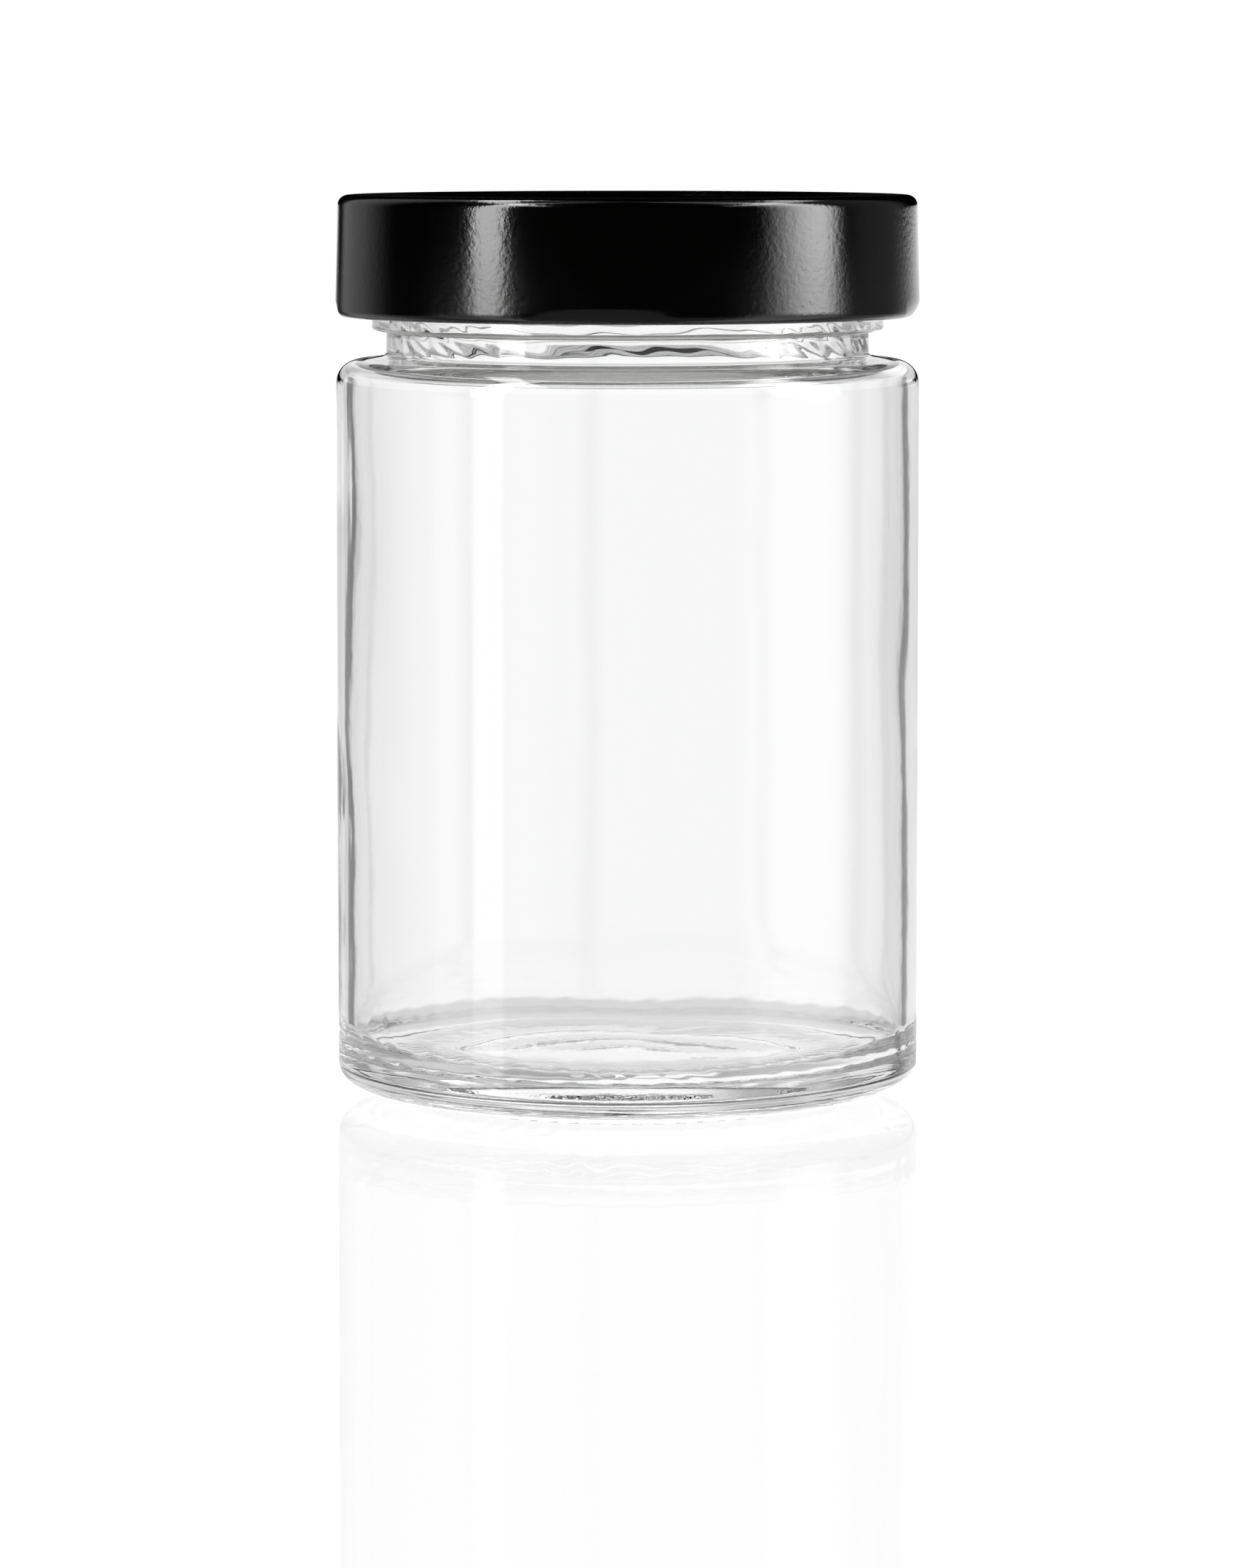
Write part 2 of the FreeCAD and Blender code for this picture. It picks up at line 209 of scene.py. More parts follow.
# %% The jar's outline
def glass_outline():
    inside_r = WALL_R - GLASS
    ledge = SHOULDER_Z + SHOULDER_ROUND
    inner_ledge = ledge - GLASS + SHOULDER_THIN
    turn_r = SHOULDER_ROUND - GLASS
    inner_neck = NECK_FOOT - GLASS + INNER_ROUND
    bead_top = BEAD_FOOT + BEAD_HEIGHT
    heel_r = WALL_R - HEEL_ROUND
    dome_r = FOOT_IN - PUSH_SLANT
    foot_edge = (FOOT_OUT + FOOT_EDGE, FOOT_EDGE_RISE)
    inner_corner = (NECK_BORE + INNER_ROUND, inner_neck)
    thick_neck = (NECK_BORE, BEAD_FOOT + 1.5)
    dome = line((0, PUSH_UP), (dome_r, PUSH_UP), 32)
    dome[:, 1] -= (PUSH_UP - PUSH_STEP) * (dome[:, 0] / dome_r) ** 2
    return [
        ("dome", dome),
        ("foot", line((dome_r, PUSH_STEP), (FOOT_IN - 0.3, 0.12), 4)),
        ("foot", arc((FOOT_IN + 0.1, FOOT_ROUND), FOOT_ROUND, 225, 270, 3)),
        ("foot", line((FOOT_IN + 0.1, 0.0), (KNURL_IN, 0.0), 2)),
        ("knurl", line((KNURL_IN, 0.0), (FOOT_OUT, 0.0), 6)),
        ("knurl", line((FOOT_OUT, 0.0), foot_edge, 3)),
        ("heel", line(foot_edge, (heel_r, HEEL_RISE), 5)),
        ("heel", arc((heel_r, HEEL_RISE + HEEL_ROUND), HEEL_ROUND, -90, 0, 12)),
        ("outside", wall(WALL_R, HEEL_RISE + HEEL_ROUND, SHOULDER_Z, 8)),
        ("shoulder", arc((WALL_R - SHOULDER_ROUND, SHOULDER_Z), SHOULDER_ROUND, 0, 84, 12)),
        ("shoulder", line((NECK_R + 3.0, ledge - 0.02), (NECK_R + NECK_FILLET, NECK_FOOT), 3)),
        ("neck", arc((NECK_R + NECK_FILLET, NECK_FOOT + NECK_FILLET), NECK_FILLET, 270, 180, 6)),
        ("neck", line((NECK_R, NECK_FOOT + NECK_FILLET), (NECK_R, BEAD_FOOT - 0.25), 4)),
        ("neck", arc((NECK_R + 0.25, BEAD_FOOT - 0.25), 0.25, 180, 90, 3)),
        ("bead", line((NECK_R + 0.25, BEAD_FOOT), (BEAD_R - BEAD_ROUND, BEAD_FOOT), 2)),
        ("bead", arc((BEAD_R - BEAD_ROUND, BEAD_FOOT + BEAD_ROUND), BEAD_ROUND, -90, 0, 5)),
        ("bead", line((BEAD_R, BEAD_FOOT + BEAD_ROUND), (BEAD_R, bead_top - BEAD_ROUND), 2)),
        ("bead", arc((BEAD_R - BEAD_ROUND, bead_top - BEAD_ROUND), BEAD_ROUND, 0, 90, 5)),
        ("finish", line((FINISH_R, bead_top), (FINISH_R, RIM_Z - RIM_ROUND), 30)),
        ("rim", arc((FINISH_R - RIM_ROUND, RIM_Z - RIM_ROUND), RIM_ROUND, 0, 90, 7)),
        ("rim", arc((MOUTH_R + RIM_ROUND, RIM_Z - RIM_ROUND), RIM_ROUND, 90, 180, 7)),
        ("bore", line((MOUTH_R, RIM_Z - RIM_ROUND), thick_neck, 7)),
        ("bore", line(thick_neck, (NECK_BORE, inner_neck), 15)),
        ("bore", arc(inner_corner, INNER_ROUND, 180, 262, 7)),
        ("ledge", line((inner_corner[0], inner_neck - INNER_ROUND), (inside_r - turn_r, inner_ledge), 6)),
        ("ledge", arc((inside_r - turn_r, SHOULDER_Z + SHOULDER_THIN), turn_r, 84, 0, 7)),
        ("inside", wall(inside_r, SHOULDER_Z + SHOULDER_THIN, FLOOR_EDGE + FLOOR_ROUND, 26)),
        ("inside", arc((inside_r - FLOOR_ROUND, FLOOR_EDGE + FLOOR_ROUND), FLOOR_ROUND, 0, -90, 12)),
        ("floor", line((inside_r - FLOOR_ROUND, FLOOR_EDGE), (0, FLOOR_MIDDLE), 26)),
    ]


jar = Lathe(glass_outline(), 360)
print("the jar's outline has", len(jar.points), "points")

# %% [markdown]
# ### Thread ribs
#
# Four ribs climb the finish, each under a quarter of the way round.  A lid lug slides under each one.  A
# rib is a bump of the radius that follows a slanting line, tall in the middle and sinking into the wall
# at both ends.

# %% Raise the thread
THREAD_LEAD, THREAD_CREST, THREAD_Z = 20.0, 33.4, 101.15
THREAD_ARC, THREAD_LEADS_LUG, THREAD_RUN_OUT = math.radians(76), math.radians(14), math.radians(9)


def raise_thread(jar):
    first = LUG_PHASE - THREAD_LEADS_LUG
    step = 2 * math.pi / LUGS
    for number in range(LUGS):
        along = (jar.turn - first - number * step) % (2 * math.pi)
        ends = smooth(0, THREAD_RUN_OUT, along) * smooth(0, THREAD_RUN_OUT, THREAD_ARC - along)
        middle = THREAD_Z + THREAD_LEAD * (along - THREAD_LEADS_LUG) / (2 * math.pi)
        across = 1 - smooth(0.35, 1.05, np.abs(jar.height - middle))
        jar.radius += jar.on("finish") * (THREAD_CREST - FINISH_R) * across * ends


raise_thread(jar)
print("the thread's crest is at", round(float((jar.radius * jar.on("finish")).max()), 2), "mm")

# %% [markdown]
# ### Foot knurls, mould seams and the blown inside
#
# The standing ring carries short radial notches, which keep the hot jar from sticking to the belt.  The
# underside has two small dimples, and two fine seams show where the mould halves met.  The blown inside
# gets slow waves: sums of a few sines with whole numbers of turns, so that they close on themselves.
# Noise would do as well, but sines keep the wall smooth, and a smooth wall is what makes glass look
# poured.

# %% Notch and seam the mould side
KNURLS, KNURL_DEPTH = 60, 0.16
SEAM_HEIGHT, SEAM_WIDTH, SEAM_SIDES = 0.014, 0.012, (14, 194)
DIMPLE_X, DIMPLE_Y, DIMPLE_APART, DIMPLE_DEPTH = 9.6, -12.0, 0.8, 0.5


def facing(turn, side, width):
    """1 at a side, given in degrees, and falling to nothing within a few widths, given in radians."""
    return np.exp(-((around(turn, math.radians(side)) / width) ** 2))


def shape_mould_side(jar):
    tooth = 0.5 + 0.5 * np.cos(KNURLS * jar.turn)
    near = smooth(24.0, FOOT_OUT, jar.radius) * smooth(29.0, 27.0, jar.radius)
    jar.height += jar.on("knurl", "heel") * KNURL_DEPTH * smooth(0.4, 0.8, tooth) * near
    for along in (-DIMPLE_APART, DIMPLE_APART):
        x = jar.radius * np.cos(jar.turn) - DIMPLE_X - along
        y = jar.radius * np.sin(jar.turn) - DIMPLE_Y - along / 2
        jar.height += jar.on("dome") * DIMPLE_DEPTH * smooth(0.85, 0.25, np.hypot(x, y))
    seam = np.zeros(len(jar.turn))
    for side in SEAM_SIDES:
        seam += facing(jar.turn, side, SEAM_WIDTH)
    jar.radius += jar.on("outside", "shoulder", "heel") * SEAM_HEIGHT * seam


shape_mould_side(jar)
print("the foot has", KNURLS, "knurls")

# %% Wave the blown inside
# Each row is waves round the jar, the height of one wave and its depth.
WALL_SLOW = [(2, 150, 0.10), (3, 95, 0.07), (5, 60, 0.03), (7, 34, 0.02)]
WALL_FINE = [(9, 26, 0.012), (13, 17, 0.008), (19, 12, 0.005)]
LEFT_RIPPLE = [(17, 7, 0.03), (27, 4, 0.015)]
FLOOR_SWELL = [(2, 60, 0.07), (3, 38, 0.05), (5, 21, 0.03)]
FLOOR_WRINKLE = [(31, 9, 0.018), (47, 6, 0.012), (23, 5, 0.02)]
NECK_WAVES = [(3, 40, 0.10), (7, 16, 0.05), (13, 9, 0.03), (29, 7, 0.015)]
NECK_FLOW = [(41, 3.1, 0.055), (67, 2.3, 0.04)]
CORNER_WAVES = [(37, 5, 0.06), (53, 3.5, 0.045), (71, 3, 0.03)]
dice = np.random.default_rng(11)


def waves(turn, height, sizes):
    """A slow uneven pattern: each size is (waves round, height of one wave, depth)."""
    total = np.zeros(np.broadcast(turn, height).shape)
    for count, length, depth in sizes:
        phase, lean = dice.uniform(0, 2 * math.pi, 2)
        rise = np.cos(count * turn + phase + 2 * math.pi * height / length)
        total = total + depth * rise * np.cos(2 * math.pi * height / (1.7 * length) + lean)
    return total


def wave_wall(jar):
    slow = waves(jar.turn, jar.height, WALL_SLOW)
    fine = waves(jar.turn, jar.height, WALL_FINE)
    left = facing(jar.turn, 180, 0.25) * smooth(62, 76, jar.height)
    fine = fine + left * waves(jar.turn, jar.height, LEFT_RIPPLE)
    calm = smooth(0, 14, 88.0 - jar.height)
    jar.radius += jar.on("inside") * (slow + fine) * calm * smooth(20, 33, jar.radius)


def wave_floor(jar):
    swell = waves(jar.turn, jar.radius, FLOOR_SWELL)
    wrinkle = waves(jar.turn, jar.radius, FLOOR_WRINKLE) * smooth(14, 24, jar.radius)
    jar.height += jar.on("floor") * (swell + wrinkle) * smooth(1.0, 8.0, jar.radius)


def wave_neck(jar):
    neck = waves(jar.turn, jar.height, NECK_WAVES)
    jar.radius += jar.on("bore") * neck * smooth(0.5, 4.0, RIM_Z - RIM_ROUND - jar.height)
    flow = waves(jar.turn, jar.height, NECK_FLOW)
    beside = facing(jar.turn, 214, 0.28) + facing(jar.turn, 326, 0.28)
    jar.radius += jar.on("bore") * flow * beside * smooth(98.5, 96.5, jar.height)


def wave_corner(jar):
    corner = waves(jar.turn, jar.height + jar.radius, CORNER_WAVES)
    low = smooth(5.0, 1.0, jar.height - FLOOR_EDGE) * smooth(24, 30, jar.radius)
    jar.radius += jar.on("inside") * corner * low
    jar.height += jar.on("floor") * corner * low * 0.6


for wave in (wave_wall, wave_floor, wave_neck, wave_corner):
    wave(jar)
glass = jar.mesh("glass_body")

# %% [markdown]
# ## The lid
#
# The lid starts as a disc of tinplate, drawn into a cup, its edge rolled inwards into a hollow curl and
# four lengths of that curl pressed in to make lugs.  Its skin is a quarter of a millimetre thick.  Both
# faces are in one outline: from the middle of the underside, down the inside of the skirt, round the
# inside of the curl, then back round its outside, up the skirt and over the top.

# %% The lid's outline
SHEET = 0.25
TOP_R, TOP_ROUND = 36.2, 1.3
PANEL_R, STEP_R, PANEL_DROP = 26.0, 27.4, 0.8
CURL = 1.0


def lid_outline():
    panel = LID_TOP - PANEL_DROP
    curl_x, curl_z = LID_R - CURL, LID_FOOT + CURL
    inner_curl = CURL - SHEET
    inner_round = TOP_ROUND - SHEET
    corner = (TOP_R - TOP_ROUND, LID_TOP - TOP_ROUND)
    return [
        ("under", line((0, panel - SHEET), (PANEL_R - 0.3, panel - SHEET), 10)),
        ("under", line((PANEL_R, panel - SHEET + 0.08), (STEP_R - 0.2, LID_TOP - SHEET - 0.08), 4)),
        ("under", line((STEP_R + 0.2, LID_TOP - SHEET), (corner[0], LID_TOP - SHEET), 5)),
        ("under", arc(corner, inner_round, 90, 0, 8)),
        ("inner_skirt", line((TOP_R - SHEET, LID_TOP - TOP_ROUND), (LID_R - SHEET, curl_z + 0.5), 16)),
        ("hollow", arc((curl_x, curl_z), inner_curl, 0, -180, 10)),
        ("hollow", arc((curl_x, curl_z), inner_curl, 180, 90, 5)),
        ("curl_in", arc((curl_x, curl_z + inner_curl + SHEET / 2), SHEET / 2, -90, 90, 4)),
        ("curl_in", arc((curl_x, curl_z), CURL, 90, 270, 14)),
        ("curl_out", arc((curl_x, curl_z), CURL, 270, 360, 9)),
        ("skirt", line((LID_R, curl_z), (TOP_R, LID_TOP - TOP_ROUND), 36)),
        ("top", arc(corner, TOP_ROUND, 0, 90, 12)),
        ("top", line((corner[0], LID_TOP), (STEP_R + 0.2, LID_TOP), 6)),
        ("top", line((STEP_R - 0.2, LID_TOP - 0.08), (PANEL_R, panel + 0.08), 4)),
        ("top", line((PANEL_R - 0.3, panel), (0, panel), 14)),
    ]


lid = Lathe(lid_outline(), 480)
print("the lid's outline has", len(lid.points), "points")

# %% [markdown]
# ### Lugs and the flats behind them
#
# A press tool pushes the curl inwards at four places.  Inside, that makes a lug which reaches under the
# thread.  Outside, it leaves a shallow flat at the bottom of the skirt, which catches the light as a low
# arch.

# %% Press the lugs
LUG_TIP = 32.4
FLAT_DEPTH, FLAT_HEIGHT, FLAT_HALF = 0.55, 2.0, math.radians(14.5)


def press_lugs(lid):
    step = 2 * math.pi / LUGS
    chord = 1 / math.cos(FLAT_HALF)
    reach = np.zeros(len(lid.turn))
    flat = np.zeros(len(lid.turn))
    for number in range(LUGS):
        off = np.abs(around(lid.turn, LUG_PHASE + number * step))
        reach += 1 - smooth(LUG_ARC / 2 - 0.02, LUG_ARC / 2 + 0.05, off)
        flat += np.clip((chord * np.cos(off) - 1) / (chord - 1), 0, 1)
    low = 1 - smooth(0.2, 1.0, (lid.height - LID_FOOT) / FLAT_HEIGHT)
    lid.radius -= lid.on("skirt", "curl_out", "hollow", "curl_in") * FLAT_DEPTH * flat * low
    inwards = smooth(0.0, 2 * CURL, LID_R - lid.points[:, :1])
    lid.radius -= lid.on("curl_in") * reach * inwards * (LID_R - 2 * CURL - LUG_TIP - FLAT_DEPTH)
    squeeze = 1 - 0.2 * reach
    lid.height = LID_FOOT + (lid.height - LID_FOOT) * (1 + lid.on("curl_in", "hollow") * (squeeze - 1))


press_lugs(lid)
shell = lid.mesh("lid_steel")

# %% [markdown]
# ## The sealing ring
#
# Vinyl compound is poured into the lid's channel and cured in the oven.  It lies flat with a rounded
# inner edge, and the glass rim has pressed a groove into it.

# %% The ring's outline
RING_IN, RING_DEPTH, RIM_GAP = 27.95, 1.5, 0.06
FLOW_MARKS = [(5, 90, 0.05), (9, 60, 0.03)]


def ring_outline():
    low = RING_TOP - RING_DEPTH
    groove = RIM_ROUND + RIM_GAP
    groove_z = RIM_Z + RIM_GAP
    inner, outer = MOUTH_R - RIM_GAP, FINISH_R + RIM_GAP
    return [
        ("groove", line((RING_IN, groove_z - groove + 0.02), (inner, groove_z - groove), 2)),
        ("groove", arc((inner + groove, groove_z - groove), groove, 180, 90, 8)),
        ("groove", arc((outer - groove, groove_z - groove), groove, 90, 0, 8)),
        ("bank", line((outer, groove_z - groove), (outer, low + 0.15), 2)),
        ("bank", line((outer + 0.15, low), (RING_R - 0.5, low), 6)),
        ("bank", arc((RING_R - 0.5, low + 0.5), 0.5, -90, 0, 5)),
        ("back", line((RING_R, low + 0.5), (RING_R, RING_TOP), 2)),
        ("back", line((RING_R, RING_TOP), (RING_IN, RING_TOP), 6)),
        ("back", line((RING_IN, RING_TOP), (RING_IN, groove_z - groove + 0.3), 2)),
    ]


compound = Lathe(ring_outline(), 300)
flow_marks = waves(compound.turn, compound.height, FLOW_MARKS)
compound.height += compound.on("bank") * 0.5 * flow_marks
ring = compound.mesh("sealing_compound", closed=True)

# %% [markdown]
# ## Shader sums
#
# A pattern is arithmetic on values that change over a surface.  Wiring Math nodes by hand hides the sum,
# so a small class wraps a socket: `1 - mask * 0.5` then adds the nodes by itself.  Any other node comes
# from one method.

# %% Sockets that can be added and multiplied
class Value:
    """A value that changes over a surface."""

    def __init__(self, sheet, socket):
        self.sheet = sheet
        self.socket = socket

    def _math(self, operation, *values):
        return self.sheet.node("ShaderNodeMath", {"operation": operation}, dict(enumerate(values)))

    def __add__(self, other):
        return self._math("ADD", self, other)

    def __sub__(self, other):
        return self._math("SUBTRACT", self, other)

    def __rsub__(self, other):
        return self._math("SUBTRACT", other, self)

    def __mul__(self, other):
        return self._math("MULTIPLY", self, other)

    __radd__ = __add__
    __rmul__ = __mul__


class Sheet:
    """A node tree to write a material or the surroundings on."""

    def __init__(self, owner):
        owner.use_nodes = True
        self.tree = owner.node_tree
        self.tree.nodes.clear()

    def node(self, kind, settings=None, inputs=None, output=0):
        """Adds a node: its settings first, then the values or links of its sockets.  Returns one output."""
        made = self.tree.nodes.new(kind)
        for name, setting in (settings or {}).items():
            setattr(made, name, setting)
        for name, value in (inputs or {}).items():
            if isinstance(value, Value):
                self.tree.links.new(value.socket, made.inputs[name])
            else:
                made.inputs[name].default_value = value
        return Value(self, made.outputs[output]) if len(made.outputs) else made

    def ramp(self, value, low, high, to_low=0.0, to_high=1.0):
        """An even ramp of value from low to high."""
        settings = {"interpolation_type": "SMOOTHSTEP"}
        places = {"Value": value, "From Min": low, "From Max": high, "To Min": to_low, "To Max": to_high}
        return self.node("ShaderNodeMapRange", settings, places)

    def band(self, value, low, high, soft_low, soft_high=None):
        """1 between low and high and 0 outside, with soft edges."""
        soft_high = soft_low if soft_high is None else soft_high
        rise = self.ramp(value, low - soft_low, low + soft_low)
        return rise * self.ramp(value, high - soft_high, high + soft_high, 1.0, 0.0)

    def noise(self, place, scale, detail):
        return self.node("ShaderNodeTexNoise", inputs={"Vector": place, "Scale": scale, "Detail": detail})

    def bump(self, height, strength, distance):
        places = {"Strength": strength, "Distance": distance, "Height": height}
        return self.node("ShaderNodeBump", inputs=places)

    def mix(self, share, first, second):
        """A colour between two colours."""
        return self.node("ShaderNodeMix", {"data_type": "RGBA"}, {0: share, 6: first, 7: second}, output=2)

    def surface(self, shader):
        self.node("ShaderNodeOutputMaterial", inputs={"Surface": shader})


def new_material(name):
    """A material, the sheet to write it on and the place on the object."""
    material = bpy.data.materials.new(name)
    sheet = Sheet(material)
    return material, sheet, sheet.node("ShaderNodeTexCoord", output=3)


# %% [markdown]
# ## Clear glass
#
# Colourless jar glass still has a trace of green, which only shows where light runs a long way through
# it, so the surface colour is almost white.  The mould leaves a faint orange-peel on the outside.  It is
# too fine for the mesh, so it is a bump.

# %% The glass finish
def clear_glass():
    material, sheet, place = new_material("clear_glass")
    peel = sheet.noise(place, 160.0, 2.0)
    slow = sheet.noise(place, 38.0, 1.0)
    grit = sheet.noise(place, 750.0, 2.0)
    split = sheet.node("ShaderNodeSeparateXYZ", inputs={0: place}).socket.node.outputs
    x, y, z = (Value(sheet, socket) for socket in split)
    across = x._math("SQRT", x * x + y * y)
    base = sheet.ramp(z, 0.001, 0.006, 1.0, 0.0)
    scuff = sheet.band(across, 0.0222, 0.0272, 0.0005) * sheet.ramp(z, 0.0002, 0.0009, 1.0, 0.0)
    relief = peel * 0.25 + slow + grit * base * 0.6
    bump = sheet.bump(relief, 0.10, 0.0006)
    shader = sheet.node(
        "ShaderNodeBsdfPrincipled",
        inputs={
            "Base Color": (0.986, 0.989, 0.987, 1.0),
            "Roughness": scuff * (0.15 + grit * 0.35),
            "IOR": 1.52,
            "Transmission Weight": 1.0,
            "Normal": bump,
        },
    )
    sheet.surface(shader)
    return material


glass.data.materials.append(clear_glass())
print("the glass finish has", len(glass.data.materials[0].node_tree.nodes), "nodes")

# %% [markdown]
# ## Lid lacquer
#
# The outside is baked black lacquer: nearly black, satin, with the fine grain of the steel showing
# through.  That grain is what frays the edges of a highlight.  The inside has a pale enamel instead, so
# the lid has two finishes, one for each face of the sheet.

# %% The lacquer and the enamel
def black_lacquer():
    material, sheet, place = new_material("black_lacquer")
    grain = sheet.noise(place, 1500.0, 3.0)
    cloud = sheet.noise(place, 90.0, 3.0)
    height = sheet.node("ShaderNodeSeparateXYZ", inputs={0: place}, output=2)
    worn = sheet.ramp(height, (LID_FOOT + 1.0) * MM, (LID_TOP - 2.0) * MM, 0.07, 0.0)
    rough = 0.07 + cloud * 0.03 + grain * 0.05 + worn
    bump = sheet.bump(grain, 0.35, 0.00006)
    shader = sheet.node(
        "ShaderNodeBsdfPrincipled",
        inputs={
            "Base Color": (0.0004, 0.0004, 0.0004, 1.0),
            "Roughness": rough,
            "IOR": 1.5,
            "Normal": bump,
        },
    )
    sheet.surface(shader)
    return material


def pale_enamel():
    material, sheet, place = new_material("pale_enamel")
    cloud = sheet.noise(place, 120.0, 4.0)
    colour = sheet.mix(cloud, (0.80, 0.795, 0.775, 1.0), (0.86, 0.855, 0.84, 1.0))
    bump = sheet.bump(cloud, 0.2, 0.0001)
    shader = sheet.node(
        "ShaderNodeBsdfPrincipled",
        inputs={"Base Color": colour, "Roughness": 0.3 + cloud * 0.1, "Normal": bump},
    )
    sheet.surface(shader)
    return material


shell.data.materials.append(black_lacquer())
shell.data.materials.append(pale_enamel())
columns = len(lid.turn)
# The mesh lists its faces row by row, then the fan under the lid and the fan on top.
face_rows = np.arange((len(lid.points) - 3) * columns) // columns + 1
pale = np.isin(lid.names[face_rows], ["under", "inner_skirt"]).astype(int).tolist()
pale += [1] * columns + [0] * columns
shell.data.polygons.foreach_set("material_index", pale)
print("enamel covers", sum(pale), "of", len(pale), "faces")

# %% [markdown]
# ## Sealing compound
#
# Cured vinyl compound is soft and off-white, with a dull skin and a few flow marks.

# %% The compound's finish
def vinyl_compound():
    material, sheet, place = new_material("sealing_compound")
    cloud = sheet.noise(place, 300.0, 4.0)
    colour = sheet.mix(cloud, (0.70, 0.695, 0.68, 1.0), (0.78, 0.775, 0.76, 1.0))
    bump = sheet.bump(cloud, 0.25, 0.0001)
    shader = sheet.node(
        "ShaderNodeBsdfPrincipled",
        inputs={
            "Base Color": colour,
            "Roughness": 0.42 + cloud * 0.12,
            "Subsurface Weight": 0.15,
            "Subsurface Scale": 0.0006,
            "Normal": bump,
        },
    )
    sheet.surface(shader)
    return material


ring.data.materials.append(vinyl_compound())
print("the sealing ring has its finish")

# %% [markdown]
# ## Everything rides on its body
#
# The lid climbs its thread as it turns.  The imported model knows that motion, so each piece only names its
# body.

# %% Ride and replace
for piece, body, node, slot in (
    (glass, "jar", "glass_jar", "clear_glass"),
    (shell, "lid", "lid_shell", "black_lacquer"),
    (ring, "seal", "sealing_ring", "sealing_compound"),
):
    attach(piece, body)
    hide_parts(node)
    print(piece.name, "rides on", body)

# %% [markdown]
# ## The studio
#
# Clear glass has no look of its own: it shows its surroundings, bent.  A jar on white needs two things.
# What lies behind it must be bright, or the glass looks smoky.  What lies beside it and behind the camera
# must be dark, or its edges vanish.  The black lid needs tall soft lights at its left and right, which it
# mirrors as two upright bands.
#
# Lamps and cards could be built as objects, but each would show in some view.  The surroundings do it
# instead: one brightness for what the camera sees, one for what surfaces mirror, and one for what is seen
# through the glass.  A real studio can't do that.  It also depends on how often a ray was bent or
# mirrored, which tells a ray that only ran inside the wall from one that crossed the jar.  Directions are
# degrees: `side` is 0 behind the jar and 90 at its right, and `lift` is above the horizon.

# %% Where a ray goes and what it has met
FLANKS = (-29, 29)


def trace_rays(sheet):
    place = sheet.node("ShaderNodeTexCoord", output=0)
    split = sheet.node("ShaderNodeSeparateXYZ", inputs={0: place}).socket.node.outputs
    path = sheet.node("ShaderNodeLightPath").socket.node.outputs
    ray = SimpleNamespace()
    ray.x, ray.y, ray.z = (Value(sheet, socket) for socket in split)
    ray.side = ray.x._math("ARCTAN2", ray.x, ray.y) * (180 / math.pi)
    ray.lift = ray.z._math("ARCSINE", ray.z) * (180 / math.pi)
    for name, output in (
        ("camera", "Is Camera Ray"),
        ("glossy", "Is Glossy Ray"),
        ("through", "Is Transmission Ray"),
        ("sharp", "Is Singular Ray"),
        ("deep", "Transmission Depth"),
        ("bounced", "Diffuse Depth"),
        ("mirrors", "Glossy Depth"),
    ):
        setattr(ray, name, Value(sheet, path[output]))
    ray.level = sheet.band(ray.lift, -10.0, -1.0, 1.0) * sheet.ramp(ray.mirrors, 1.4, 1.6, 1.0, 0.0)
    ray.flanks = sheet.band(ray.side, *FLANKS, 2.0)
    return ray


print("flanks of the backdrop lie between", FLANKS, "degrees")


# %% Lights and backdrop
LEFT_STRIP, RIGHT_SOFT = (-130.3, -117.0), (91.5, 114)
BACKDROP = (-12, 38)
BAR_ACROSS, BAR_BACK, BAR_DOWN = 0.80, 0.342, -0.4925


def place_lights(sheet, ray):
    """The backdrop, the tall lights at both sides of the lid and the two slanting bars overhead."""
    ahead = sheet.ramp(ray.lift, 3.0, 4.5) * sheet.ramp(ray.lift, 14.0, 30.0, 1.0, 0.0) * ray.sharp
    backdrop = sheet.band(ray.side, *BACKDROP, 6, 14) * (sheet.ramp(ray.lift, -1.0, 0.5, 1.0, 0.0) + ahead)
    left_glow = sheet.band(ray.side, -63, -27, 13, 4) * 0.42
    right_glow = sheet.band(ray.side, 40, 80, 10, 8) * 0.15
    high = sheet.ramp(ray.lift, -2.6, -2.0) * sheet.ramp(ray.lift, 40.0, 70.0, 1.0, 0.0)
    strip = sheet.band(ray.side, *LEFT_STRIP, 1.2) * (1.5 + high * 9.0)
    spill = sheet.band(ray.side, -115.5, -98, 2.0) * (1 - high) * 0.5
    short = sheet.ramp(ray.lift, 28.0, 38.0) * sheet.ramp(ray.y, 0.42, 0.55, 1.0, 0.0)
    left_lean = ray.x * -BAR_ACROSS + ray.y * BAR_BACK + ray.z * BAR_DOWN
    right_lean = ray.x * BAR_ACROSS + ray.y * BAR_BACK + ray.z * BAR_DOWN
    left_bar = sheet.band(left_lean, -0.12, 0.02, 0.02) * short * 8.0
    right_bar = sheet.band(right_lean, 0.0, 0.15, 0.04) * short * 5.0
    soft = sheet.band(ray.side, *RIGHT_SOFT, 6.0, 13.0) * high * 10.0
    low_soft = sheet.band(ray.side, 86, 131, 5.0, 6.0) * (1 - high) * 1.1
    lights = backdrop * 1.1 + left_glow + right_glow + strip + spill + soft + low_soft + left_bar + right_bar
    return lights, backdrop


print("the lid's tall lights are at", LEFT_STRIP, "and", RIGHT_SOFT, "degrees")


# %% What surfaces mirror
OPEN_SKY = 0.8


